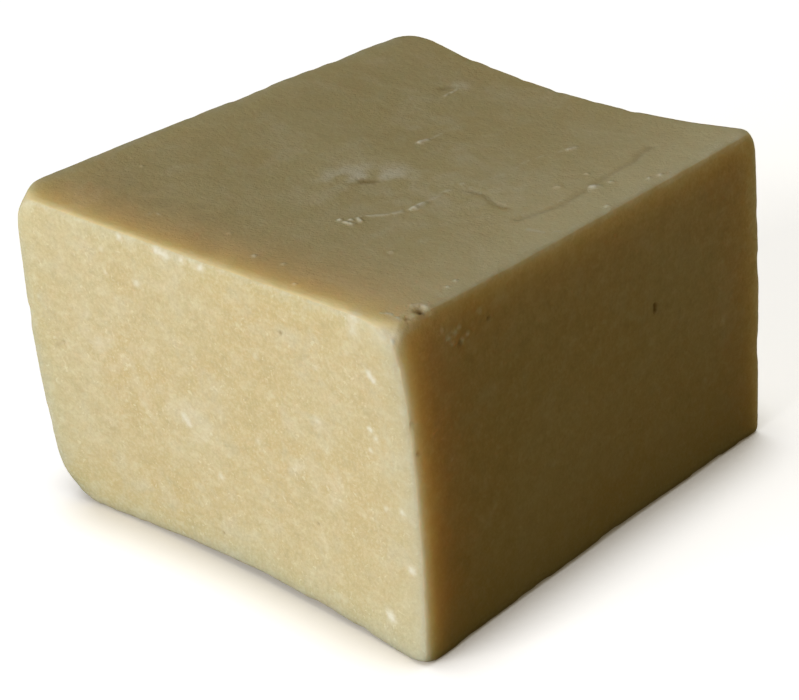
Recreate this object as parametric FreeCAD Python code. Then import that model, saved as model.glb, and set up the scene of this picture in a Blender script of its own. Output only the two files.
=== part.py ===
"""A hand-cut block of olive-oil soap, in millimetres.

The bar is one solid, cut from a slab that had been poured on a floor. Its faces sank in while it dried, so
the corners now stand proud of them. The back face is the slab's own rim: it bulges, leans in towards the
bottom and runs under in one wide round. +Z is up, +X runs along the longer side, and the front faces -Y.
"""

import FreeCAD, Part
import math
import os
from itertools import product

Vector = FreeCAD.Vector

# The block as it was cut, from corner to corner
LENGTH = 72.0
WIDTH = 65.0
HEIGHT = 47.0

# How far the cuts ran out of square at a corner: outwards along X, along Y and along Z.
# The two lower corners of the rim hang below the rest. Their wide round takes the overhang away again.
OUT_OF_SQUARE = {
    ("left", "front", "top"): (-0.2, 0.2, 0.0),
    ("left", "back", "top"): (1.9, 1.4, 0.0),
    ("right", "back", "top"): (0.7, -1.6, 0.0),
    ("right", "front", "top"): (-1.1, -0.6, 0.0),
    ("left", "front", "bottom"): (-1.0, 1.3, 0.0),
    ("left", "back", "bottom"): (-0.5, -0.2, 1.5),
    ("right", "back", "bottom"): (0.5, -1.4, 1.2),
    ("right", "front", "bottom"): (0.7, -0.3, 0.0),
}

# How deep each face has sunk: half way along the edge it shares with each neighbour, and at its own middle
SUNK = {
    "top": {"front": 0.9, "back": -0.2, "left": 0.9, "right": 2.1, "middle": 1.9},
    "bottom": {"front": 0.6, "back": 0.5, "left": 1.9, "right": 1.5, "middle": 2.2},
    "left": {"front": 1.0, "back": -0.6, "top": 1.0, "bottom": 1.8, "middle": 1.9},
    "right": {"front": -0.2, "back": 0.3, "top": 1.5, "bottom": 1.2, "middle": 1.7},
    "front": {"left": -0.1, "right": -0.3, "top": 1.0, "bottom": 0.2, "middle": 0.9},
    "back": {"left": -0.6, "right": -0.6, "top": -0.1, "bottom": 0.0, "middle": -0.7},
}

# Edges whose hollow is not in the middle: the end it lies nearer to, and the share of it on that side
OFF_CENTRE = {("left", "bottom"): ("back", 0.63)}

# Radii of the worn edges. The rim runs under in a wide round. The round up each side of the rim is widest at
# the top, and it narrows on its way down and along under the side to the radius that all the cut edges have.
EDGE_ROUND = 1.0
RIM_ROUND_UNDER = 8.0
RIM_ROUND_TOP = {"left": 2.6, "right": 4.2}
SHARP_TURN = 25  # surfaces that meet at more degrees than this still have a sharp edge between them

# The bottom is worn flat this deep where it touches the ground: at its front corners and along the rim
FOOT_WEAR = 0.5
GROUND_MARGIN = 20.0  # how far the ground that wears it reaches past the bar and down

# One top corner was knocked off, this far along each of its three edges
CORNER_CHIP = 4.0
CHIPPED_CORNER = ("left", "front", "top")

# Inward direction of each face
INWARD = {
    "left": Vector(1, 0, 0),
    "right": Vector(-1, 0, 0),
    "front": Vector(0, 1, 0),
    "back": Vector(0, -1, 0),
    "bottom": Vector(0, 0, 1),
    "top": Vector(0, 0, -1),
}
ACROSS = (("left", "right"), ("front", "back"), ("bottom", "top"))
DEGREE = 3  # each face is a cubic patch
HALF_WAY = (1 / 8, 3 / 8, 3 / 8, 1 / 8)  # what each row of a cubic patch's poles adds at its middle


def corner(faces):
    """The corner where a left or right, a front or back and a bottom or top face meet."""
    half_size = (LENGTH / 2, WIDTH / 2, HEIGHT / 2)
    place = Vector(0, 0, HEIGHT / 2)
    for face, half, skew in zip(faces, half_size, OUT_OF_SQUARE[faces]):
        place -= INWARD[face] * (half + skew)
    return place


def edge_push(face, neighbour):
    """How far the two inner poles of an edge move, so that it sinks half way along by what SUNK says."""
    return SUNK[face][neighbour] / (HALF_WAY[1] + HALF_WAY[2])


def hollow_share(face, neighbour, end):
    """How much of an edge's push its pole nearer to an end takes; 1 where the hollow is in the middle."""
    edge = tuple(f for pair in ACROSS for f in pair if f in (face, neighbour))
    deeper_end, share = OFF_CENTRE.get(edge, (end, 1 / 2))
    return 2 * share if end == deeper_end else 2 * (1 - share)


def middle_push(face, neighbours):
    """How far the four inner poles of a face move, so that its middle sinks by what SUNK says."""
    inner = HALF_WAY[1] + HALF_WAY[2]
    from_edges = sum(edge_push(face, n) for n in neighbours) * inner * HALF_WAY[0]
    return (SUNK[face]["middle"] - from_edges) / inner**2


def bowed_face(face):
    """One face of the block: a patch through its four corners, sunk along its edges and at its middle."""
    axis = next(n for n, pair in enumerate(ACROSS) if face in pair)
    across_u, across_v = (pair for n, pair in enumerate(ACROSS) if n != axis)
    ends = (0, DEGREE)
    poles = [[Vector() for _ in range(DEGREE + 1)] for _ in range(DEGREE + 1)]
    for i, j in product(range(DEGREE + 1), repeat=2):
        u, v = i / DEGREE, j / DEGREE
        u_shares = zip(across_u, (1 - u, u))
        v_shares = zip(across_v, (1 - v, v))
        for (u_face, u_share), (v_face, v_share) in product(u_shares, v_shares):
            faces = [u_face, v_face]
            faces.insert(axis, face)
            poles[i][j] += corner(tuple(faces)) * (u_share * v_share)
        rows = ((across_u, i), (across_v, j))
        on_edge_with = [pair[ends.index(row)] for pair, row in rows if row in ends]
        nearer_to = [pair[row > DEGREE / 2] for pair, row in rows if row not in ends]
        if not on_edge_with:
            poles[i][j] += INWARD[face] * middle_push(face, (*across_u, *across_v))
        elif nearer_to:
            neighbour = on_edge_with[0]
            push = INWARD[face] * edge_push(face, neighbour) + INWARD[neighbour] * edge_push(neighbour, face)
            poles[i][j] += push * hollow_share(face, neighbour, nearer_to[0])
    surface = Part.BSplineSurface()
    repeats = [DEGREE + 1, DEGREE + 1]
    surface.buildFromPolesMultsKnots(poles, repeats, repeats, [0, 1], [0, 1], False, False, DEGREE, DEGREE)
    return surface.toShape()


def sharp_block():
    """The block before its edges wore round."""
    faces = [bowed_face(face) for face in INWARD]
    for face, inward in zip(faces, INWARD.values()):
        u_low, u_high, v_low, v_high = face.ParameterRange
        if face.normalAt((u_low + u_high) / 2, (v_low + v_high) / 2).dot(inward) > 0:
            face.reverse()
    shell = Part.Shell(faces)
    shell.sewShape()
    return Part.Solid(shell)


def knocked_off(block, faces):
    """The block without the tip of one corner."""
    tip = corner(faces)
    inward = sum((INWARD[face] for face in faces), Vector()).normalize()
    depth = CORNER_CHIP / math.sqrt(len(faces))
    piece = Part.makeCylinder(CORNER_CHIP, CORNER_CHIP, tip + inward * depth, inward * -1)
    return block.cut(piece)


def ground():
    """What the bar stood on while its bottom wore flat."""
    size = Vector(LENGTH, WIDTH, 0) + Vector(2, 2, 1) * GROUND_MARGIN
    low_corner = Vector(-size.x / 2, -size.y / 2, FOOT_WEAR - size.z)
    return Part.makeBox(size.x, size.y, size.z, low_corner)


def edge_between(block, face, neighbour):
    """The edge of the block where two faces meet."""
    ends = next(pair for pair in ACROSS if face not in pair and neighbour not in pair)
    middle = INWARD[face] * SUNK[face][neighbour] + INWARD[neighbour] * SUNK[neighbour][face]
    for end in ends:
        faces = tuple(f for pair in ACROSS for f in pair if f in (face, neighbour, end))
        middle += corner(faces) / 2
    return min(block.Edges, key=lambda edge: edge.distToShape(Part.Vertex(middle))[0])


def turn_at(edge, block):
    """The angle between the two surfaces that meet at an edge, in degrees; 0 where they run on smoothly."""
    place = edge.valueAt((edge.FirstParameter + edge.LastParameter) / 2)
    normals = [
        face.normalAt(*face.Surface.parameter(place)) for face in block.ancestorsOfType(edge, Part.Face)
    ]
    return math.degrees(normals[0].getAngle(normals[1]))


def soap_bar():
    """The whole bar, resting on the ground with its middle over the origin."""
    bar = sharp_block().cut(ground())
    bar = bar.makeFillet(RIM_ROUND_UNDER, [edge_between(bar, "back", "bottom")])
    for side, radius in RIM_ROUND_TOP.items():
        bar = bar.makeFillet(EDGE_ROUND, radius, [edge_between(bar, "back", side)])
    bar = knocked_off(bar, CHIPPED_CORNER)
    bar = bar.makeFillet(EDGE_ROUND, [edge for edge in bar.Edges if turn_at(edge, bar) > SHARP_TURN])
    box = bar.optimalBoundingBox(False, False)
    bar.translate(Vector(-box.Center.x, -box.Center.y, -box.ZMin))
    return bar


if __name__ == "__main__":
    os.makedirs("parts", exist_ok=True)
    soap_bar().exportStep("parts/soap_bar.step")
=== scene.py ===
# %% [markdown]
# This lesson dresses one bar of olive-oil soap. The bar was cut by hand from a slab, it dried for months, and its
# faces sank in. Its shape is already there as a packed CAD model, which is loaded first and never changed.
# Everything below is placed around it, in metres.

# %% Load the frame
import math
from collections import namedtuple

import bmesh
import bpy
import numpy as np
from mathutils import Matrix, Vector, noise
from mathutils.bvhtree import BVHTree
from mathutils.kdtree import KDTree


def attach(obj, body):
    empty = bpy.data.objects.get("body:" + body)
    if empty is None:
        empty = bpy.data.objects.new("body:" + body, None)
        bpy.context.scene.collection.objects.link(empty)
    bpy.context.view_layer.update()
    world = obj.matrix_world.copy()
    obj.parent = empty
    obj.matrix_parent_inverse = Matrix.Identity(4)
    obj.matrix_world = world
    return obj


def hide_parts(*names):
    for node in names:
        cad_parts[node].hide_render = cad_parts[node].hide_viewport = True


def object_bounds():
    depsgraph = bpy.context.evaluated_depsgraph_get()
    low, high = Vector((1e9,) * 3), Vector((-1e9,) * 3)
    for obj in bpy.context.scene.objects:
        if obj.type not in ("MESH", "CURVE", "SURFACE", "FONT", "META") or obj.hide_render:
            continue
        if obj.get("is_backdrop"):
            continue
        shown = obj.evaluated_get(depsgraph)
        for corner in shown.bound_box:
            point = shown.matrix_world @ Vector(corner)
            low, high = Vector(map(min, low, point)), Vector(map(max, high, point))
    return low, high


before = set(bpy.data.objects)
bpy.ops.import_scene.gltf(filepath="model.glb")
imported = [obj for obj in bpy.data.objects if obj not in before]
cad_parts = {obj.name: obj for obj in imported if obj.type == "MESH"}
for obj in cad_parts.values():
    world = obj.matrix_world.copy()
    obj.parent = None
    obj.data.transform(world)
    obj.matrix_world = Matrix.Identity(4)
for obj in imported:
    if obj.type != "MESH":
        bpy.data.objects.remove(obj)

MM = 0.001
cad_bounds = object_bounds()
cad_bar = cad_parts["soap_bar"]
print("The bar is", [round((high - low) / MM, 1) for low, high in zip(*cad_bounds)], "mm")

# %% [markdown]
# The camera looks at the corner where the sunlit side, the top and the shaded side meet. A camera could be moved
# by eye until the picture fits. This one is described by what a photographer would write down: where it aims, from
# how far, at which angles, and how long its lens is. The lens is given in pixels of the photograph, which makes it
# easy to turn a pixel into a direction later on.

# %% Camera
PHOTO_WIDTH = 799
PHOTO_HEIGHT = 700
LENS_IN_PIXELS = 2319.0
SENSOR_MM = 36.0
AIM = Vector((-6.953, -5.637, 23.003)) * MM
DISTANCE = 303.7 * MM
AZIMUTH = math.radians(-45.72)
ELEVATION = math.radians(27.9)
ROLL = math.radians(-3.31)

backwards = Vector((
    math.sin(AZIMUTH) * math.cos(ELEVATION),
    -math.cos(AZIMUTH) * math.cos(ELEVATION),
    math.sin(ELEVATION),
))
level = Vector((math.cos(AZIMUTH), math.sin(AZIMUTH), 0))
plumb = backwards.cross(level)
rightwards = level * math.cos(ROLL) + plumb * math.sin(ROLL)
upwards = plumb * math.cos(ROLL) - level * math.sin(ROLL)
eye = AIM + backwards * DISTANCE

camera = bpy.data.objects.new("camera", bpy.data.cameras.new("camera"))
camera.data.sensor_width = SENSOR_MM
camera.data.lens = SENSOR_MM * LENS_IN_PIXELS / PHOTO_WIDTH
camera.data.clip_start = 0.01
camera.matrix_world = Matrix.Translation(eye) @ Matrix((rightwards, upwards, backwards)).transposed().to_4x4()
bpy.context.scene.collection.objects.link(camera)
bpy.context.scene.camera = camera
print("Lens", round(camera.data.lens, 1), "mm, eye at", [round(c / MM) for c in eye], "mm")

# %% [markdown]
# Small marks on the soap are easiest to find in the photograph. A pixel alone has no depth, so a ray goes from the
# eye through the pixel, and the mark sits where the ray first meets the CAD model. From then on it is a place on
# the bar, and it stays there from every side.

# %% From a pixel to a place on the soap
cad_points = np.array([v.co for v in cad_bar.data.vertices]) / MM
cad_faces = [tuple(p.vertices) for p in cad_bar.data.polygons]
cad_tree = BVHTree.FromPolygons(cad_points.tolist(), cad_faces)


def on_soap(x, y):
    """The place on the bar, in millimetres, that shows at a pixel of the photograph."""
    ray = rightwards * (x - PHOTO_WIDTH / 2) - upwards * (y - PHOTO_HEIGHT / 2) - backwards * LENS_IN_PIXELS
    place = cad_tree.ray_cast(eye / MM, ray)[0]
    if place is None:
        raise ValueError(f"pixel {x}, {y} is beside the bar")
    return place


print("The near top corner is at", [round(c, 1) for c in on_soap(400, 332)], "mm")

# %% [markdown]
# Each face of the CAD model is one smooth, slightly sunken sheet, but the packed model stores it as flat
# triangles. Lit from the side, such triangles show. So each face is described again by a smooth formula: a
# polynomial is fitted to the triangles' corners by least squares, in a few rounds that leave out corners lying on
# the rounded edges. Near a wide round it has nothing to hold on to, so its bends are held down a little.

# %% Smooth faces
HIGHEST_POWER = 3
HIGHEST_TOGETHER = 4
FITTING_ROUNDS = 6
ON_THE_FACE = 0.985  # how squarely a triangle must look out of its face, as a cosine
STRAY = 0.03  # a corner further off than this, in millimetres, is left out of the next round
HELD_DOWN = 0.1  # how strongly the bends are held back

each = range(HIGHEST_POWER + 1)
POWERS = [(i, j) for i in each for j in each if i + j <= HIGHEST_TOGETHER]
low, high = (np.array(corner) / MM for corner in cad_bounds)
middle, half_size = (low + high) / 2, (high - low) / 2
Face = namedtuple("Face", "axis side shape")


def terms(points, axis):
    """The polynomial's terms at some points, from their two coordinates across an axis."""
    u, v = ((points[:, a] - middle[a]) / half_size[a] for a in range(3) if a != axis)
    return np.stack([u**i * v**j for i, j in POWERS], axis=1)


def fitted_face(axis, side):
    """One of the bar's six faces as a polynomial."""
    normals = np.array([p.normal for p in cad_bar.data.polygons])
    squarely = [face for face, n in zip(cad_faces, normals) if n[axis] * side > ON_THE_FACE]
    points = cad_points[np.unique(np.concatenate(squarely))]
    if axis == 2 and side < 0:
        points = points[points[:, 2] > STRAY]  # the feet are worn flat
    hold = HELD_DOWN * np.diag([float(i + j > 1) for i, j in POWERS])
    for _ in range(FITTING_ROUNDS):
        wanted = np.concatenate([points[:, axis], np.zeros(len(POWERS))])
        shape = np.linalg.lstsq(np.vstack([terms(points, axis), hold]), wanted, rcond=None)[0]
        off = np.abs(terms(points, axis) @ shape - points[:, axis])
        points = points[off < max(STRAY, np.median(off))]
    print("  axis", axis, "side", side, "points", len(points), "off by at most", round(off.max(), 3), "mm")
    return Face(axis, side, shape)


faces = [fitted_face(axis, side) for axis in range(3) for side in (-1, 1)]

# %% [markdown]
# The skin is one closed mesh, like a wrapping of six square nets sewn together along the edges of a block. A voxel
# remesh would also close it, but its grid steps across slanted edges. A net follows the edges, and its lines can
# lie closer together where the edges turn.

# %% A net of squares round the block
FINE = 0.32  # size of a square near an edge, in millimetres
FINE_BAND = 2.6
COARSE = 0.72  # and in the middle of a face
SETTLING_ROUNDS = 5


def spaced(length):
    """Places along one side of the block from 0 to 1, closer together near both ends."""
    near_end = np.arange(0, FINE_BAND, FINE)
    cells = round((length - 2 * FINE_BAND) / COARSE)
    between = np.linspace(FINE_BAND, length - FINE_BAND, cells + 1)
    return np.concatenate([near_end, between, length - near_end[::-1]]) / length


lines = [spaced(length) for length in 2 * half_size]
counts = np.array([len(line) for line in lines])
knots = {}
squares = []
for axis in range(3):
    first, second = (a for a in range(3) if a != axis)
    for side in (-1, 1):
        turn = side * (1 if axis != 1 else -1)  # which way round a square goes, so that it faces outwards
        for i in range(counts[first] - 1):
            for j in range(counts[second] - 1):
                ring = [(0, 0), (1, 0), (1, 1), (0, 1)][::turn]
                square = []
                for di, dj in ring:
                    knot = [0, 0, 0]
                    knot[axis] = counts[axis] - 1 if side > 0 else 0
                    knot[first], knot[second] = i + di, j + dj
                    square.append(knots.setdefault(tuple(knot), len(knots)))
                squares.append(square)
index = np.array(list(knots))
share = np.stack([lines[a][index[:, a]] for a in range(3)], axis=1)
block = low + share * (high - low)
for _ in range(SETTLING_ROUNDS):
    for face in faces:
        end = counts[face.axis] - 1 if face.side > 0 else 0
        on_face = index[:, face.axis] == end
        block[on_face, face.axis] = terms(block[on_face], face.axis) @ face.shape
    for axis in range(3):
        ends = []
        for side in (-1, 1):
            face = next(f for f in faces if (f.axis, f.side) == (axis, side))
            ends.append(terms(block, axis) @ face.shape)
        block[:, axis] = ends[0] + share[:, axis] * (ends[1] - ends[0])
print("Net:", len(squares), "squares,", len(block), "knots")

# %% [markdown]
# The block still has knife-sharp edges, while soap wears round. Every knot moves to the nearest point of the CAD
# model. In the middle of a face that step is only as large as the flat triangles are off, and there the smooth
# face is kept. Along the edges the step is real, and a little smoothing hides the triangles of the rounds. On the
# small rounds a knot goes only part of the way, because real edges broke more than they wore. The near top corner,
# which was knocked off, is smoothed much more: the break has been rubbed soft since. It also moves a little to the
# left, to where the photograph shows it.

# %% Pull the net onto the bar
SMOOTH_STEP = (0.03, 0.09)  # a step shorter than the first is left out, and one longer than the second is real
RELAXING = 0.5
EDGE_ROUNDS = 2
CRISP = 0.6  # share of the way that a knot goes on a small round
SMALL_ROUND = (0.6, 1.6)  # a step shorter than the first is a small round's, one longer than the second a wide one's
BROKEN_CORNER = (398, 327)
BREAK_SIZE = (1.5, 4.5)
BREAK_ROUNDS = 30
LEAN = (-0.46, 0.46, 0.0)  # how far the broken corner moves, in millimetres
LEAN_SIZE = 5.5


def ramp(value, start, stop):
    """0 up to start, 1 from stop, and a soft S between them."""
    t = np.clip((value - start) / (stop - start), 0, 1)
    return t * t * (3 - 2 * t)


pairs = np.array([(s[k], s[k - 1]) for s in squares for k in range(4)])
neighbours = np.bincount(pairs.ravel(), minlength=len(block))[:, None]


def relaxed(points, share, rounds):
    """The points after each was drawn some times towards the middle of its neighbours, by its own share."""
    for _ in range(rounds):
        total = np.zeros_like(points)
        np.add.at(total, pairs[:, 0], points[pairs[:, 1]])
        np.add.at(total, pairs[:, 1], points[pairs[:, 0]])
        points = points + (total / neighbours - points) * share[:, None] * RELAXING
    return points


nearest = np.array([cad_tree.find_nearest(p)[0] for p in block.tolist()])
step = np.linalg.norm(nearest - block, axis=1)
rounded = ramp(step, *SMOOTH_STEP)
way = rounded * (CRISP + (1 - CRISP) * ramp(step, *SMALL_ROUND))
skin = relaxed(block + (nearest - block) * way[:, None], rounded, EDGE_ROUNDS)
from_break = np.linalg.norm(skin - np.array(on_soap(*BROKEN_CORNER)), axis=1)
skin = relaxed(skin, 1 - ramp(from_break, *BREAK_SIZE), BREAK_ROUNDS)
skin = skin + np.exp(-((from_break / LEAN_SIZE) ** 2))[:, None] * LEAN
print("Largest step onto the bar:", round(float(np.linalg.norm(skin - block, axis=1).max()), 2), "mm")

# %% [markdown]
# Three more corners took a knock. Such a corner is neither cut nor filed: the soap gave way and stayed a little
# domed. A boolean cut would leave a flat facet. So everything that reaches past a plane across the corner is
# pressed back to it, with a soft bend where the pressing begins.

# %% Knocked corners
KNOCKS = (((-1, 1, 1), 1.35), ((1, -1, 1), 0.55), ((-1, -1, -1), 0.35))  # which corner, and how deep in mm
DOMED = 0.45  # how softly the bend begins, in millimetres

for corner, depth in KNOCKS:
    out = np.array(corner) / math.sqrt(3)
    reach = skin @ out
    beyond = reach - reach.max() + depth
    skin -= out * (DOMED * np.logaddexp(0, beyond / DOMED))[:, None]
    print("Corner", corner, "pressed in by", round(float(DOMED * np.logaddexp(0, depth / DOMED)), 2), "mm")

# %% [markdown]
# Wear starts at the edges, so the next steps need to know how far a place is from the nearest edge of the block.
# The twelve edges are the net's own seams. Their knots go into a tree that answers which of them is nearest.

# %% How far a place is from an edge
at_end = (index == 0) | (index == counts - 1)
seam_knots = np.nonzero(at_end.sum(axis=1) >= 2)[0]
seams = KDTree(len(seam_knots))
for number, knot in enumerate(seam_knots):
    seams.insert(skin[knot], int(knot))
seams.balance()


def from_edge(points):
    """How far each point is from the nearest seam, in millimetres."""
    return np.array([seams.find(p)[2] for p in points.tolist()])


print("Seam knots:", len(seam_knots))

# %% [markdown]
# A bar that dried in the open and was handled has its own small marks: pits where an air bubble was cut open,
# shrinkage cracks, streaks left by the cutting wire, and white specks where soda came out. They are listed by the
# pixels of the photograph that they run through, with their size in millimetres. Where one is sunk it becomes a
# dip, and where the depth is negative it stands proud. Its paleness or darkness is kept for the colour.

# %% What a mark is
Mark = namedtuple("Mark", "path reach sunk pale dark")
MARKS = []


def mark(*path, reach, sunk=0.0, pale=0.0, dark=0.0):
    """Notes a mark along a path of pixels: how wide and deep it is, and how much paler or darker."""
    MARKS.append(Mark([on_soap(*pixel) for pixel in path], reach, sunk, pale, dark))


print("A mark has", Mark._fields)

# %% [markdown]
# The top dried in the open, and it has the most to show: a hazy patch with a dent in it, a string of specks, and
# two shrinkage cracks that curve towards the far edge. Noise alone could strew such things over it, but none would
# be where this bar has it, so each one is noted. Specks of one kind are a table that a loop turns into marks.

# %% Marks on the top
# A dent with a streak and a haze beside it, and a short bright streak
mark((444, 88), (450, 86), reach=0.7, sunk=0.16, dark=0.2)
mark((445, 96), (452, 92.5), (459, 89), reach=0.26, sunk=-0.12, pale=0.9)
mark((459, 84), (464, 87), reach=1.0, pale=0.4)
mark((420, 142.5), (427, 140.3), reach=0.45, sunk=-0.22, pale=1.0)
mark((427, 140.3), (441.5, 133), reach=0.24, pale=0.5)
mark((412, 128), (418, 127), reach=0.8, pale=0.25)
# A dent in a hazy patch, and a string of specks that runs on into a faint line
mark((364, 180), (372, 180), reach=0.8, sunk=0.2, dark=0.4)
mark((338, 178), (360, 174), (398, 173), reach=2.9, pale=0.75)
mark((330, 200), (420, 196), (500, 190), reach=7.0, pale=0.2)
# a faint dark band just inside the top's left edge: painted shade beside the painted glow
mark((112, 184), (160, 201), (205, 216), reach=3.5, dark=0.12)
mark((388, 174), (417, 186), reach=1.8, pale=0.45)
mark((340, 220), reach=0.34, sunk=-0.22, pale=1.0)
mark((345, 222), (352, 224), reach=0.34, sunk=-0.2, pale=0.8)
mark((351, 220), reach=0.36, sunk=-0.22, pale=1.0)
mark((358.5, 218), (361, 221), reach=0.32, sunk=-0.2, pale=0.9)
mark((364, 216), (380, 215), (395, 213), (414, 208), reach=0.42, sunk=-0.1, pale=0.75)
mark((415, 208), (423, 203.5), reach=0.45, sunk=-0.22, pale=1.0)
mark((423, 203.5), (436, 196.5), (452, 188), (466, 182), reach=0.45, sunk=-0.06, pale=0.55)
mark((466, 182), (471.5, 190), (480, 192.5), reach=0.26, pale=0.3)
# Two cracks, the longer one curved
mark((471, 190), (484.6, 193.9), (491, 200), (497.7, 204.4), (507, 207), reach=0.6, sunk=0.13, dark=0.15)
mark(
    (518.6, 218.7), (537, 212.2), (560.4, 204.4), (575, 196.5), (589, 187.4), (605, 177), (620.6, 167.7),
    (635, 160), (641.5, 152), (652, 145.5), reach=0.6, sunk=0.15, dark=0.18,
)
mark((523, 214), (541, 208), (562, 200), reach=0.35, pale=0.25)
mark((482, 181), (511, 171.7), (526, 161), (545, 155), (561, 151), reach=0.26, pale=0.28)
mark((569, 149), (575, 147), reach=0.42, sunk=-0.15, pale=0.6)
mark((593.9, 186.6), reach=0.72, sunk=-0.3, pale=1.2)
for x, y, size, strength in (
    (611, 182, 0.32, 0.7), (586.6, 174.3, 0.3, 0.5), (557.8, 187.4, 0.5, 0.35), (661, 174.3, 0.34, 0.6),
    (649, 178, 0.3, 0.6), (607.5, 205.7, 0.3, 0.6), (391.8, 251.4, 0.34, 0.35), (455.8, 280.2, 0.3, 0.6),
    (448, 286.7, 0.3, 0.6), (254.5, 255.7, 0.34, 0.7), (284, 263.8, 0.3, 0.5), (294.7, 283.9, 0.3, 0.4),
    (230, 233, 0.3, 0.3), (142, 166, 0.26, 0.35),
):
    mark((x, y), reach=size, sunk=-0.18, pale=strength)
mark((150.5, 213.3), (156, 213.4), (160.3, 215.4), reach=0.24, sunk=-0.10, pale=0.75)
mark((527, 229), (547, 232), (558, 231), reach=0.34, pale=0.5)
print("Marks on the top:", len(MARKS))

# %% [markdown]
# Where the near corner broke off, bubbles were cut open, and the soap beside it is crumbly. The shaded side has few
# marks, so each of them counts: pits, faint scratches, and nicks where the near upright edge was knocked.

# %% Marks on the corner and the shaded side
# The worn corner, with its pits
mark((420.5, 309.2), reach=0.62, sunk=0.55, dark=0.9)
mark((409, 316.2), reach=0.42, sunk=0.35, dark=0.6)
mark((413, 305), (422, 303), (428, 308), reach=0.6, sunk=-0.1, pale=0.45)
mark((381, 312.4), (390.6, 313.6), (400.3, 317.9), reach=0.28, sunk=-0.05, pale=0.8)
mark((392.5, 341), reach=0.4, pale=0.9)
mark((392, 330), (404, 321), reach=1.6, pale=0.5)
# The shaded side: a crumbly patch, pits and faint scratches
mark((447, 338), (456, 333), (466, 340), reach=1.5, pale=0.45)
for x, y, size, strength in (
    (449, 338, 0.42, 0.9), (455, 333, 0.4, 1.0), (462, 340, 0.4, 0.9), (467, 334, 0.34, 0.8),
    (452, 344, 0.36, 0.7), (459, 327, 0.36, 0.6), (443, 331, 0.36, 0.7), (480, 311, 0.4, 0.5),
):
    mark((x, y), reach=size, sunk=-0.15, pale=strength)
mark((459.7, 343.3), reach=0.3, sunk=0.3, dark=0.5)
mark((488.2, 318.5), reach=0.26, sunk=0.25, dark=0.45)
mark((496, 301), (503, 297), reach=0.8, sunk=-0.04, pale=0.3)
mark((655.3, 305), (655.6, 311), reach=0.34, sunk=0.28, dark=0.75)
mark((723.2, 320.7), reach=0.6, pale=0.45)
mark((705.3, 380.3), reach=0.36, pale=0.35)
mark((495.3, 506.6), (486.1, 526.1), reach=0.5, pale=0.2)
mark((481, 519), (490, 525), reach=0.4, pale=0.2)
mark((452.3, 460), reach=0.2, pale=0.6)
# Nicks along the near upright edge
mark((413, 425), reach=0.5, sunk=0.3, pale=0.2)
mark((419, 454.5), reach=0.32, sunk=0.25, dark=0.3)
mark((397, 370), reach=0.5, sunk=0.22, pale=0.2)
print("Marks so far:", len(MARKS))

# %% [markdown]
# The sunlit side is a cut end, dotted with white specks and a few dark ones. Broad clouds of bloom run across it. A
# cloud is a mark like the others, only wider and fainter.

# %% Marks on the sunlit side
# Four dark specks, then white ones
for x, y, size, strength in (
    (279.8, 333.4, 0.28, 0.55), (62.8, 341.7, 0.3, 0.35), (224, 533, 0.25, 0.5), (318, 524, 0.25, 0.5),
):
    mark((x, y), reach=size, sunk=0.14, dark=strength)
mark((56, 345.5), (64, 342), reach=0.26, dark=0.2)
for x, y, size, strength in (
    (118.2, 237.2, 0.4, 0.7), (180.6, 260.3, 0.4, 0.7), (199.5, 268, 0.45, 0.8), (135.7, 282.8, 0.55, 0.65),
    (100.7, 249.1, 0.35, 0.45), (104.9, 272.9, 0.25, 0.6), (38.2, 296.1, 0.35, 0.4), (370.3, 429.8, 0.4, 0.95),
    (375.9, 438.9, 0.42, 0.7), (370.3, 450.1, 0.35, 0.7), (222, 477, 0.5, 0.7), (391, 617, 0.85, 0.95),
    (412, 571, 0.6, 0.9), (402, 513.3, 0.4, 0.8), (385.7, 509, 0.4, 0.6), (258, 441.7, 0.5, 0.4),
    (255.3, 356.1, 0.5, 0.4), (315.6, 367.4, 0.4, 0.4), (317.7, 420.7, 0.5, 0.45),
):
    mark((x, y), reach=size, sunk=-0.03, pale=strength)
mark((155, 250.5), (166, 256.5), reach=0.5, sunk=-0.04, pale=0.8)
mark((369, 373), (374, 381), reach=0.42, sunk=-0.04, pale=0.9)
mark((353.5, 318), (353.5, 331), reach=0.9, pale=0.4)
mark((184, 415), (190, 424), reach=0.6, sunk=-0.03, pale=0.7)
mark((95, 345), (150, 380), (205, 420), reach=4.0, pale=0.22)
mark((275, 462), (335, 492), reach=3.0, pale=0.2)
print("Marks so far:", len(MARKS))

# %% [markdown]
# The right-hand end, the rim at the back and the underside don't show in the photograph. They could stay plain, but
# a bar that was handled has marks all round, so they get a few of the same kinds. These are guesses. They have no
# pixels, so they are given as places in millimetres, each of which moves to the nearest point of the CAD model.

# %% Marks on the sides that don't show
def guessed_mark(*path, reach, sunk=0.0, pale=0.0, dark=0.0):
    """Notes a mark on a side that the photograph doesn't show, along a path of places in millimetres."""
    MARKS.append(Mark([cad_tree.find_nearest(place)[0] for place in path], reach, sunk, pale, dark))


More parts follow.
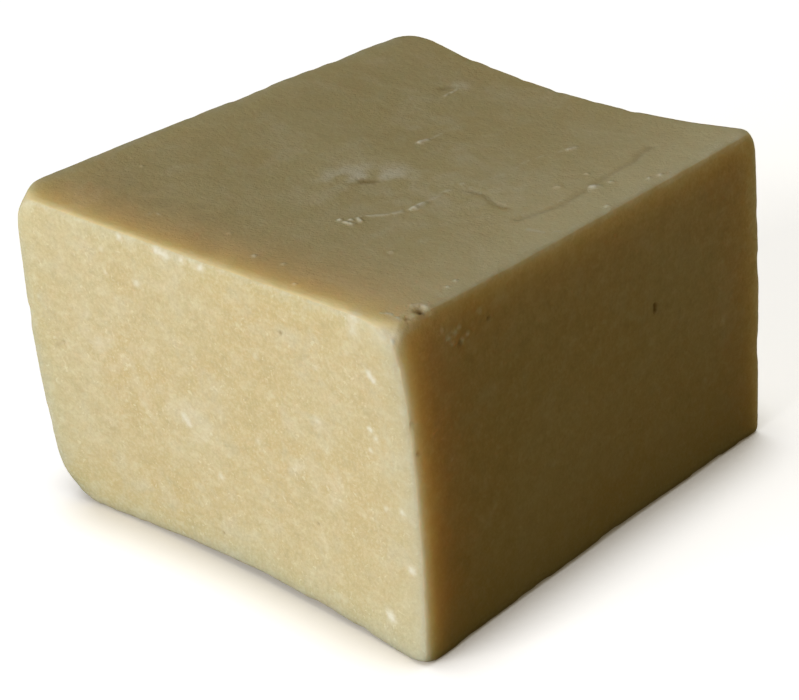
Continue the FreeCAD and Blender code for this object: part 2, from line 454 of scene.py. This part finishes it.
# The right-hand end: streaks of the wire, pits and specks like those on the other cut end
RIGHT = 36.0
guessed_mark((RIGHT, -21, 31), (RIGHT, -6, 34), (RIGHT, 12, 33.5), reach=0.45, sunk=0.08, dark=0.1)
guessed_mark((RIGHT, -14, 22), (RIGHT, 2, 25), (RIGHT, 18, 24.5), reach=3.2, pale=0.4)
guessed_mark((RIGHT, -24, 8), (RIGHT, -12, 11), reach=2.4, pale=0.35)
for y, z, size, depth in ((15, 19, 0.42, 0.35), (-22, 13, 0.3, 0.3), (4, 38, 0.32, 0.3), (24, 30, 0.26, 0.25)):
    guessed_mark((RIGHT, y, z), reach=size, sunk=depth, dark=0.5)
for y, z, size, strength in (
    (-9, 38, 0.5, 0.8), (5, 13, 0.45, 0.7), (-17, 26, 0.4, 0.8), (11, 29, 0.5, 0.7), (20, 12, 0.4, 0.6),
    (-27, 36, 0.4, 0.7), (-3, 19, 0.36, 0.7), (26, 21, 0.4, 0.6),
):
    guessed_mark((RIGHT, y, z), reach=size, sunk=-0.05, pale=strength)
# The rim: shallow dents, a scratch and clouds of bloom
BACK = 33.0
guessed_mark((-21, BACK, 32), (-9, BACK, 27), (4, BACK, 26), reach=3.0, pale=0.4)
guessed_mark((14, BACK, 15), (24, BACK, 18), reach=2.4, pale=0.35)
guessed_mark((15, BACK, 35), (22, BACK, 33.5), (27, BACK, 31), reach=0.42, sunk=0.1, pale=0.5)
for x, z, size, depth in ((9, 22, 0.5, 0.35), (-15, 13, 0.34, 0.3), (-24, 24, 0.28, 0.25), (21, 27, 1.1, 0.18)):
    guessed_mark((x, BACK, z), reach=size, sunk=depth, dark=0.4)
# The underside: scuffs from the board that it stood on
guessed_mark((-14, -8, 0), (-2, -3, 0), (9, 1, 0), reach=0.5, sunk=0.12, dark=0.15)
guessed_mark((6, -14, 0), (17, -10, 0), reach=0.4, sunk=0.1, dark=0.12)
guessed_mark((-8, 12, 0), (10, 15, 0), reach=4.0, pale=0.4)
print("Marks:", len(MARKS))

# %% [markdown]
# A square of the net is larger than most of those marks. Splitting the whole net would give far too many
# triangles, so only the squares under a mark are split, twice, and those along the three edges that meet at the
# near corner once. The split is done on the smooth net, before anything is pushed in or out.

# %% Split the net where there is something small
FIRST_MARGIN = 0.9
SECOND_MARGIN = 0.3
SPREAD = 1.5  # how far a mark can be felt, against its reach
LARGEST_SPLIT_REACH = 1.2  # wider marks need no finer net
EDGE_BAND = 1.2
SEAM_STEP = 4  # only every fourth knot of a seam is kept, which is plenty for measuring from it
TINY = 1e-9


def distance_to(points, path):
    """How far each point is from a line through the places of a path, in millimetres."""
    path = [np.array(place) for place in path]
    nearest = np.full(len(points), np.inf)
    for start, stop in zip(path, path[1:] or path):
        along = stop - start
        share = np.clip((points - start) @ along / max(along @ along, TINY), 0, 1)
        nearest = np.minimum(nearest, np.linalg.norm(points - start - share[:, None] * along, axis=1))
    return nearest


def split_near(bm, margin, edges_too):
    """Splits the squares whose middle is within a margin of a mark, and those along the near edges if asked."""
    bm.faces.ensure_lookup_table()
    centres = np.array([f.calc_center_median() for f in bm.faces])
    chosen = np.zeros(len(centres), bool)
    for m in MARKS:
        if m.reach < LARGEST_SPLIT_REACH:
            chosen |= distance_to(centres, m.path) < m.reach * SPREAD + margin
    if edges_too:
        for path in NEAR_EDGES:
            chosen |= distance_to(centres, path) < EDGE_BAND
    cut = {edge for number in np.nonzero(chosen)[0] for edge in bm.faces[number].edges}
    bmesh.ops.subdivide_edges(bm, edges=sorted(cut, key=lambda e: e.index), cuts=1, use_grid_fill=True)
    return int(chosen.sum())


def seam(fixed):
    """Places along one seam of the net, in order. fixed has the side taken on each axis, and 0 for the free one."""
    rows = np.ones(len(index), bool)
    for axis, side in enumerate(fixed):
        if side:
            rows &= index[:, axis] == (counts[axis] - 1 if side > 0 else 0)
    order = np.nonzero(rows)[0]
    return skin[order[np.argsort(index[order][:, fixed.index(0)])]][::SEAM_STEP]


NEAR_EDGES = [seam((-1, 0, 1)), seam((0, -1, 1)), seam((-1, -1, 0))]
mesh = bpy.data.meshes.new("soap_skin")
mesh.from_pydata(skin.tolist(), [], squares)
bm = bmesh.new()
bm.from_mesh(mesh)
print("Split once:", split_near(bm, FIRST_MARGIN, True), " twice:", split_near(bm, SECOND_MARGIN, False))
bm.normal_update()
bm.to_mesh(mesh)
bm.free()
print("Triangles:", sum(len(p.vertices) - 2 for p in mesh.polygons))

# %% [markdown]
# Now the skin gets its shape in the small. Hand-cut soap is never quite flat: it has broad, shallow waves, and
# finer ones on the side where the wire dragged. Its edges are crumbled in places. It could be sculpted by hand, but
# smooth noise gives the same numbers at every run, and its height and size can be given in millimetres. It is
# gathered as one height for each point, to be added along the surface's own direction.

# %% Waves and crumbled edges
WAVES = ((0.10, 15.0), (0.035, 5.0))  # height and size of each layer of unevenness, in millimetres
DRAG = (0.022, 1.7)
DRAG_ELSEWHERE = 0.4  # share of the wire's drag that shows on the other sides
CRUMBLE = (0.14, 3.4)
CRUMBLING = (0.05, 0.5)  # where in the noise an edge begins to crumble, and is fully crumbled
PLAIN_EDGE = 0.25  # share of the crumbling that even the best edge has
PLAIN_EDGE_SIZE = 9.0
PLAIN_EDGE_FADING = (-0.5, 0.5)
FINE_CRUMBLE = (0.06, 1.1)
CRUMBLE_BAND = 0.9
FACING = (0.3, 0.9)  # how squarely the skin must look one way to begin to count as that side, and to count fully

count = len(mesh.vertices)
points = np.empty(count * 3)
mesh.vertices.foreach_get("co", points)
points = points.reshape(-1, 3)
outwards = np.array([n.vector for n in mesh.vertex_normals])


def waviness(size, offset):
    """Smooth noise from -1 to 1 at each point of the skin, with lumps of about one size in millimetres.

    Another offset takes another part of the endless noise, so that two layers have nothing in common.
    """
    places = points / size + offset
    return np.array([noise.noise(p) for p in places.tolist()])


edge = from_edge(points)
near_edge = np.exp(-((edge / CRUMBLE_BAND) ** 2))
sunlit_side = ramp(-outwards[:, 0], *FACING)
height = np.zeros(count)
for number, (amount, size) in enumerate(WAVES):
    height += amount * waviness(size, 10.0 * number)
height += DRAG[0] * waviness(DRAG[1], 30.0) * (DRAG_ELSEWHERE + (1 - DRAG_ELSEWHERE) * sunlit_side)
crumbled = ramp(waviness(CRUMBLE[1], 40.0), *CRUMBLING)
crumbled = crumbled + PLAIN_EDGE * ramp(waviness(PLAIN_EDGE_SIZE, 50.0), *PLAIN_EDGE_FADING)
height -= CRUMBLE[0] * near_edge * crumbled
height -= FINE_CRUMBLE[0] * near_edge * np.abs(waviness(FINE_CRUMBLE[1], 60.0))
print("Waves and edges from", round(height.min(), 2), "to", round(height.max(), 2), "mm")

# %% [markdown]
# The marks follow. Each is a soft dip or a soft bump across its path. An even groove would look drawn, so noise
# makes every mark a little ragged, breaks up the long pale ones, and lets a wide haze come and go in clouds. Only
# then does the whole height go into the mesh, and nothing may reach below the ground.

# %% Press the marks in
RAGGED = (0.4, 0.5)  # by which share a mark gets wider or narrower, and how often, in millimetres
BREAK_UP_SIZE = 0.9
BREAK_UP = (-0.4, 0.15)  # where in the noise a long mark is gone, and where it is whole
HAZE = 1.4  # a mark wider than this is a haze
CLOUD_SIZE = 2.2
CLOUDING = (-0.35, 0.35)

pale = np.zeros(count)
dark = np.zeros(count)
ragged = 1 + RAGGED[0] * waviness(RAGGED[1], 70.0)
broken = ramp(waviness(BREAK_UP_SIZE, 80.0), *BREAK_UP)
cloudy = ramp(waviness(CLOUD_SIZE, 90.0), *CLOUDING)
for m in MARKS:
    across = distance_to(points, m.path) / m.reach * ragged
    strength = np.exp(-(across**2))
    if m.reach > HAZE:
        strength *= cloudy
    elif len(m.path) > 2 and m.pale:
        strength *= broken
    height -= m.sunk * strength
    pale = np.maximum(pale, m.pale * strength)
    dark = np.maximum(dark, m.dark * strength)
points += outwards * height[:, None]
points[:, 2] = np.maximum(points[:, 2], low[2])
mesh.vertices.foreach_set("co", (points * MM).ravel())
mesh.shade_smooth()
print("Pushed in by up to", round(-height.min(), 2), "and out by up to", round(height.max(), 2), "mm")

# %% [markdown]
# The finish has to know where the skin was marked and worn. It could guess that from noise of its own, but then the
# colour and the shape would disagree. So numbers kept on the mesh's points, called attributes, carry it to the
# shader. Some of them are bands that fade out from one of the near edges. A pale band on the sunlit side is painted
# light: it stands in for light that leaks out through the near upright edge. The top is painted paler towards its
# near right edge. A golden band on the top, and bands on the shaded side, are painted glow where light comes through
# the edges. The foot is painted darker: painted shade near the floor, most of all on the shaded side.

# %% Keep the wear on the mesh
RIM_BAND = 0.9  # each band's width is in millimetres
# painted light: the sunlit side is painted paler along the near upright edge, for light that leaks out there
PAINTED_PALE_BAND = 3.5
BRIGHT_BAND = 12.0
# painted glow: light that enters at a lit face and comes out near an edge, on the top and on the shaded side
PAINTED_GLOW_BAND = 5.0
PAINTED_GLOW_SHADE = 0.6  # how strong the painted glow is on the shaded side
LIT_THROUGH_BAND = 1.8
# painted shade: the foot is painted darker near the floor
FOOT_SHADE_HEIGHT = 14.0
FOOT_SHADE_ELSEWHERE = 0.1  # share of the painted foot shade that shows on the other sides

top_side = ramp(outwards[:, 2], *FACING)
shaded_side = ramp(-outwards[:, 1], *FACING)
top_left_edge, top_right_edge, upright_edge = (distance_to(points, path) for path in NEAR_EDGES)
for name, values in (
    ("pale", pale),
    ("dark", dark),
    ("edge", np.exp(-edge / RIM_BAND)),
    ("sunlit_side", sunlit_side),
    ("cut_side", ramp(np.abs(outwards[:, 0]), *FACING)),
    ("crumbled", near_edge * np.clip(crumbled, 0, 1)),
    # painted light: a pale band on the sunlit side along the near upright edge
    ("painted_pale_band", sunlit_side * np.exp(-upright_edge / PAINTED_PALE_BAND)),
    # the top is painted paler towards its near right edge
    ("bright_band", top_side * np.exp(-top_right_edge / BRIGHT_BAND)),
    # painted glow beside the top's left edge, and on the shaded side below the top
    ("painted_glow_band", np.maximum(
        top_side * np.exp(-top_left_edge / PAINTED_GLOW_BAND),
        shaded_side * PAINTED_GLOW_SHADE * np.exp(-top_right_edge / LIT_THROUGH_BAND),
    )),
    # painted glow where light comes through the near upright edge
    ("lit_through", shaded_side * np.exp(-upright_edge / LIT_THROUGH_BAND)),
    ("top_side", top_side),
    # painted shade near the floor, most of all on the shaded side
    ("painted_foot_shade", (FOOT_SHADE_ELSEWHERE + (1 - FOOT_SHADE_ELSEWHERE) * shaded_side) * np.exp(-points[:, 2] / FOOT_SHADE_HEIGHT)),
):
    mesh.attributes.new(name, "FLOAT", "POINT").data.foreach_set("value", values.astype(np.float32))
soap_skin = bpy.data.objects.new("soap_skin", mesh)
bpy.context.scene.collection.objects.link(soap_skin)
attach(soap_skin, "root")
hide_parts("soap_bar")
print("Attributes:", [a.name for a in mesh.attributes if a.domain == "POINT"])

# %% [markdown]
# Shaders are graphs of nodes, and writing them node by node hides the idea. The small class below lets shader maths
# be written as a formula instead. A Wire stands for what comes out of a node, and arithmetic on it adds Math nodes.
# Colours never go through it, because a Math node turns a colour grey.

# %% Shader maths
class Wire:
    """What comes out of a node, ready for arithmetic."""

    def __init__(self, finish, socket):
        self.finish = finish
        self.socket = socket

    def maths(self, operation, *values, **settings):
        """A Math node that takes this wire first and the other values after it."""
        sockets = dict(enumerate((self, *values)))
        return self.finish.add("Math", {"operation": operation, **settings}, sockets)

    def __add__(self, other):
        return self.maths("ADD", other)

    def __mul__(self, other):
        return self.maths("MULTIPLY", other)

    def __sub__(self, other):
        return self.maths("SUBTRACT", other)

    def __rsub__(self, other):
        return (self * -1) + other

    __radd__ = __add__
    __rmul__ = __mul__

    def kept(self):
        """The value, held between 0 and 1."""
        return self.maths("ADD", 0.0, use_clamp=True)

    def soft_step(self, start, stop):
        """0 up to start, 1 from stop, and a soft S between them."""
        settings = {"interpolation_type": "SMOOTHSTEP"}
        return self.finish.add("MapRange", settings, {"Value": self, "From Min": start, "From Max": stop})


print("A wire has", [name for name in vars(Wire) if not name.startswith("_")], "besides + - and *")

# %% [markdown]
# The second class owns the graph of one material or world. Its method add makes any other node, from its kind, its
# settings, and what goes into its sockets. The other methods are short forms of it for what this lesson needs most
# often: an attribute of the mesh, smooth noise, and a mix of two colours.

# %% A finish
MIX_SHARE, MIX_FIRST, MIX_SECOND = 0, 6, 7  # a Mix node's sockets for colours, several of which share a name
MIXED = 2


class Finish:
    """The graph of nodes of a material or a world."""

    def __init__(self, owner):
        owner.use_nodes = True
        self.tree = owner.node_tree
        self.tree.nodes.clear()

    def add(self, kind, settings=None, sockets=None, out=0):
        """Any node: its settings are set first, then each socket gets its value or its wire."""
        node = self.tree.nodes.new("ShaderNode" + kind)
        for name, value in (settings or {}).items():
            setattr(node, name, value)
        for name, value in (sockets or {}).items():
            if isinstance(value, Wire):
                self.tree.links.new(value.socket, node.inputs[name])
            else:
                node.inputs[name].default_value = value
        return Wire(self, node.outputs[out] if len(node.outputs) else None)

    def attribute(self, name):
        """A number that the mesh keeps for each of its points."""
        return self.add("Attribute", {"attribute_name": name}, out="Fac")

    def noise(self, place, size, detail=2.0, roughness=0.5, distortion=0.0):
        """Smooth noise from 0 to 1 whose lumps are about one size in millimetres."""
        sockets = {"Vector": place, "Scale": 1 / size, "Detail": detail}
        return self.add("TexNoise", {}, {**sockets, "Roughness": roughness, "Distortion": distortion})

    def mix(self, share, first, second):
        """From the first colour at 0 to the second at 1."""
        sockets = {MIX_SHARE: share, MIX_FIRST: colour(first), MIX_SECOND: colour(second)}
        return self.add("Mix", {"data_type": "RGBA"}, sockets, out=MIXED)


def colour(value):
    """A colour with the alpha that Blender's sockets expect."""
    return value if isinstance(value, Wire) else (*value, 1.0)


print("A finish has", [name for name in vars(Finish) if not name.startswith("_")])

# %% [markdown]
# Olive-oil soap is cream with a breath of olive. It isn't evenly coloured: it has warm and pale clouds a few
# millimetres wide, a finer mottling that the wire drew out, and grain. Four sizes of noise give them. Each row below
# says where in the noise a colour begins and where it is full, and how much of it there is.

# %% Clouds and grain
CREAM = (0.715, 0.625, 0.375)
WARM = (0.705, 0.58, 0.31)
PALE = (0.73, 0.665, 0.46)
SHADOWED = (0.53, 0.45, 0.245)
FLECK = (0.85, 0.79, 0.57)
DRAWN_OUT = (1.0, 0.6, 1.0)  # squeezes the places along one axis, so that the lumps there grow longer

soap = bpy.data.materials.new("olive_oil_soap")
finish = Finish(soap)
place = finish.add("TexCoord", out="Object")
place = finish.add("VectorMath", {"operation": "SCALE"}, {0: place, "Scale": 1 / MM})
along = finish.add("VectorMath", {"operation": "MULTIPLY"}, {0: place, 1: DRAWN_OUT})
broad = finish.noise(place, 19.0, detail=2.0)
cloud = finish.noise(place, 4.5, detail=5.0, roughness=0.6, distortion=0.4)
grain = finish.noise(place, 0.5, detail=3.0, roughness=0.65)
mottle = finish.noise(along, 1.5, detail=4.0, roughness=0.65)
base = finish.mix(broad.soft_step(0.35, 0.65), CREAM, WARM)
for pattern, begins, full, amount, tint in (
    (cloud, 0.45, 0.75, 0.8, PALE),
    (1 - cloud, 0.5, 0.8, 0.3, SHADOWED),
    (grain, 0.45, 0.75, 0.4, FLECK),
    (1 - grain, 0.45, 0.75, 0.3, SHADOWED),
    (mottle, 0.5, 0.75, 0.5, FLECK),
    (1 - mottle, 0.5, 0.75, 0.35, SHADOWED),
):
    base = finish.mix(pattern.soft_step(begins, full) * amount, base, tint)
print("Clouds and grain:", len(soap.node_tree.nodes), "nodes")

# %% [markdown]
# The outside has changed since the cut. The top is painted a deeper olive for its older skin, and darker as well,
# which is painted shade; over it lies a thin pale veil. The foot is painted darker, which is painted shade near the
# floor. Flecks came out where salts dried, most of all on the cut ends. Nearer the edges come the bands that the
# mesh
# keeps: a pale band of painted light on the sunlit side, the top painted paler towards its near right edge, and
# painted glow, golden on the top and lit through on the shaded side. Noise breaks up most of them, so that they
# don't look like stripes.

# %% Older skin, painted shade and painted light at the edges
# a deeper olive for the older skin of the top, and darker, which is painted shade
OLD_SKIN_AND_SHADE = (0.62, 0.545, 0.27)
OLD_SKIN_AND_SHADE_SHARE = 0.5
# the colour of the painted shade at the foot
FOOT_SHADE = (0.40, 0.30, 0.09)
FOOT_SHADE_SHARE = 0.75
CHALK = (0.90, 0.87, 0.72)
VEILED = 0.22
CUT_FLECKS = 0.5  # how much more flecked the cut ends are
PLAIN_FLECKS = 0.15
# the colour that the top is painted with towards its near right edge
PALER_NEAR_EDGE = (0.86, 0.785, 0.51)
# colours of painted glow, for light that comes out near the edges
PAINTED_GLOW = (1.0, 0.73, 0.32)
LIT_THROUGH = (1.0, 0.82, 0.50)

top = finish.attribute("top_side")
# the top: older skin, and painted shade
base = finish.mix(top * OLD_SKIN_AND_SHADE_SHARE, base, OLD_SKIN_AND_SHADE)
# painted shade near the floor
base = finish.mix(finish.attribute("painted_foot_shade") * FOOT_SHADE_SHARE, base, FOOT_SHADE)
veil = finish.noise(along, 8.0, detail=6.0, roughness=0.65, distortion=0.8).soft_step(0.5, 0.68)
base = finish.mix(top * veil * VEILED, base, CHALK)
specks = finish.noise(place, 0.55, detail=1.5, roughness=0.4, distortion=0.6).soft_step(0.6, 0.74)
crowded = finish.noise(place, 3.0, detail=1.0).soft_step(0.4, 0.62)
flecks = specks * crowded * (finish.attribute("cut_side") * CUT_FLECKS + PLAIN_FLECKS)
base = finish.mix(flecks, base, FLECK)
# painted light: the sunlit side paler along the near upright edge
base = finish.mix(finish.attribute("painted_pale_band") * (mottle * 1.2).kept(), base, PALE)
# the top painted paler towards its near right edge
base = finish.mix(finish.attribute("bright_band") * (cloud * 0.6 + 0.6), base, PALER_NEAR_EDGE)
# painted glow along the edges of the top and the shaded side
base = finish.mix(finish.attribute("painted_glow_band") * (cloud + 0.2).kept(), base, PAINTED_GLOW)
base = finish.mix(finish.attribute("lit_through"), base, LIT_THROUGH)
print("With age and edges:", len(soap.node_tree.nodes), "nodes")

# %% [markdown]
# The marks and the crumbled edges are chalky. Pits, dents, cracks and dark specks are painted darker, and a faint
# band on the top is painted shade. Chalk and the dark come last, because they lie on top of everything else. The
# finish is waxy, rougher on the cut side and roughest where it is chalky. The bump only has to carry what is too
# small for the mesh.

# %% Chalk, dark marks and grain
# pits, dents, cracks and specks are painted darker, and the faint band on the top is painted shade
DIRT_AND_SHADE = (0.22, 0.13, 0.035)
MARK_CHALK = 0.7
MARK_GRAIN = 0.9
WORN_CHALK = 0.3
RIM_CHALK = 0.4
SUNLIT_LOSS = 0.5  # share of the edges' chalk that doesn't show on the sunlit side
EDGE_CHALK = 0.4
CHALKIEST = 0.95
WAXY = 0.55
DRY = 0.75
CUT_ROUGHER = 0.1

sunlit = finish.attribute("sunlit_side")
marks = finish.attribute("pale") * (grain * MARK_GRAIN + MARK_CHALK)
edges = finish.attribute("crumbled") * WORN_CHALK + finish.attribute("edge") * (grain * RIM_CHALK)
chalk = (marks + edges * (1 - sunlit * SUNLIT_LOSS) * EDGE_CHALK).kept()
base = finish.mix(chalk * CHALKIEST, base, CHALK)
stain_and_shade = finish.attribute("dark")
base = finish.mix(stain_and_shade, base, DIRT_AND_SHADE)
roughness = chalk * (DRY - WAXY) + (sunlit * CUT_ROUGHER + WAXY)
relief = grain * 0.09 + mottle * 0.1 + cloud * 0.1 + flecks * 0.04  # in millimetres
bump = finish.add("Bump", {}, {"Height": relief, "Strength": 1.0, "Distance": MM})
print("With chalk and dirt:", len(soap.node_tree.nodes), "nodes")

# %% [markdown]
# Light enters soap and comes out a few millimetres further on, red further than blue, so that a lit edge glows
# golden on its shaded side. Blender's subsurface scattering does exactly that, and one radius for each colour sets
# how far. It also blurs everything small, so a thin dry skin without any scattering is mixed over it, which keeps
# the grain and the marks crisp.

# %% Body and dry skin
GLOW = (1.0, 0.71, 0.60)  # how far red, green and blue light travel, against each other
GLOW_REACH = 13.0 * MM
DRY_SKIN = 0.35  # how much of the surface doesn't let light in
BENDING = 1.45
SHEEN = 0.2  # less mirroring than Blender's usual 0.5, because the surface is dull

surface = {"Base Color": base, "Roughness": roughness, "Normal": bump}
surface.update({"IOR": BENDING, "Specular IOR Level": SHEEN})
scattering = {"Subsurface Weight": 1.0, "Subsurface Radius": GLOW, "Subsurface Scale": GLOW_REACH}
body = finish.add("BsdfPrincipled", {"subsurface_method": "RANDOM_WALK"}, {**surface, **scattering})
skin_layer = finish.add("BsdfPrincipled", {}, surface)
dryness = ((marks + stain_and_shade).kept() * (1 - DRY_SKIN) + DRY_SKIN).kept()
both = finish.add("MixShader", {}, {0: dryness, 1: body, 2: skin_layer})
finish.add("OutputMaterial", {}, {"Surface": both})
mesh.materials.append(soap)
print("Soap:", len(soap.node_tree.nodes), "nodes")

# %% [markdown]
# The bar stands on a plain pale floor. To the camera the floor is nearly white, and it keeps the soft shadow. The
# soap sees a warmer, dimmer floor, as it would on a wooden board, so that little light is thrown back onto its
# shaded side. The Light Path node tells the camera's rays from all others. Close under the bar, where almost no
# light arrives, the floor turns brown.

# %% Floor
FLOOR_SIZE = 3.0  # half its width, in metres
BOARD = (0.18, 0.13, 0.03)
WHITE = (0.9, 0.9, 0.9)
SHADE = (0.09, 0.078, 0.055)
GLOWING = 0.8
SHADE_REACH = 14 * MM
SHADE_SAMPLES = 8
SHADE_FADING = (0.35, 0.95)  # how open to the sky the floor is where it begins to glow, and where it glows fully

floor_mesh = bpy.data.meshes.new("floor")
corners = [(x * FLOOR_SIZE, y * FLOOR_SIZE, 0) for x, y in ((-1, -1), (1, -1), (1, 1), (-1, 1))]
floor_mesh.from_pydata(corners, [], [(0, 1, 2, 3)])
floor = bpy.data.objects.new("floor", floor_mesh)
bpy.context.scene.collection.objects.link(floor)
floor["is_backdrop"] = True

board = bpy.data.materials.new("pale_floor")
finish = Finish(board)
to_camera = finish.add("LightPath", out="Is Camera Ray")
open_sky = finish.add("AmbientOcclusion", {"samples": SHADE_SAMPLES}, {"Distance": SHADE_REACH}, out="AO")
paint = finish.mix(to_camera, BOARD, WHITE)
glow = finish.mix(open_sky.soft_step(*SHADE_FADING), SHADE, (1, 1, 1))
lit = finish.add("BsdfDiffuse", {}, {"Color": paint})
glowing = finish.add("Emission", {}, {"Color": glow, "Strength": to_camera * GLOWING})
both = finish.add("AddShader", {}, {0: lit, 1: glowing})
finish.add("OutputMaterial", {}, {"Surface": both})
floor_mesh.materials.append(board)
print("Floor", FLOOR_SIZE * 2, "m wide")

# %% [markdown]
# Around it all is the world, Blender's endless background. The camera sees it plain white, at a strength of 1. To
# every other ray it is faint and warm, so the lamps alone shape the light on the soap.

# %% Surroundings
ROOM = (1.0, 0.73, 0.3)
AMBIENT = 0.03

world = bpy.data.worlds.new("studio")
bpy.context.scene.world = world
finish = Finish(world)
to_camera = finish.add("LightPath", out="Is Camera Ray")
sky = finish.mix(to_camera, ROOM, (1, 1, 1))
strength = to_camera * (1 - AMBIENT) + AMBIENT
background = finish.add("Background", {}, {"Color": sky, "Strength": strength})
finish.add("OutputWorld", {}, {"Surface": background})
print("World:", len(world.node_tree.nodes), "nodes")

# %% [markdown]
# One large lamp stands low on the left and a little behind, like a window. It lights the cut side fully, grazes
# the top and leaves the front in shade. A weak warm lamp opens that shade a little, and another one on the far
# side gives the right-hand edges their thin light. Each is given as the brightness that it makes on a surface
# facing it: at 1, a colour comes out as it was written.

# %% Lamps
LAMP_DISTANCE = 0.9


def lamp(name, direction, brightness, size, tint):
    """A square soft lamp that faces the bar, with its width in metres."""
    light = bpy.data.lights.new(name, "AREA")
    light.size = size
    light.color = tint
    light.energy = brightness * math.pi**2 * LAMP_DISTANCE**2
    holder = bpy.data.objects.new(name, light)
    towards = Vector(direction).normalized()
    holder.location = AIM + towards * LAMP_DISTANCE
    holder.rotation_mode = "QUATERNION"
    holder.rotation_quaternion = towards.to_track_quat("Z", "Y")
    bpy.context.scene.collection.objects.link(holder)
    print(" ", name, round(light.energy, 2), "W")


lamp("window", (-0.94, 0.17, 0.29), brightness=1.05, size=0.6, tint=(1.0, 0.98, 0.95))
lamp("warm_fill", (0.25, -0.9, 0.45), brightness=0.085, size=0.5, tint=(1.0, 0.76, 0.36))
lamp("far_fill", (0.95, 0.1, 0.12), brightness=0.26, size=0.5, tint=(1.0, 0.95, 0.6))

# %% [markdown]
# The picture's colours are shown as they are, with no film look on top. The last lines print how large the dressed
# bar is, to compare with the CAD model.

# %% Finish
bpy.context.scene.view_settings.view_transform = "Standard"
sizes = {"cad": [list(corner) for corner in cad_bounds], "visual": [list(corner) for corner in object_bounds()]}
for name, box in sizes.items():
    print(name, [[round(c / MM, 2) for c in corner] for corner in box])
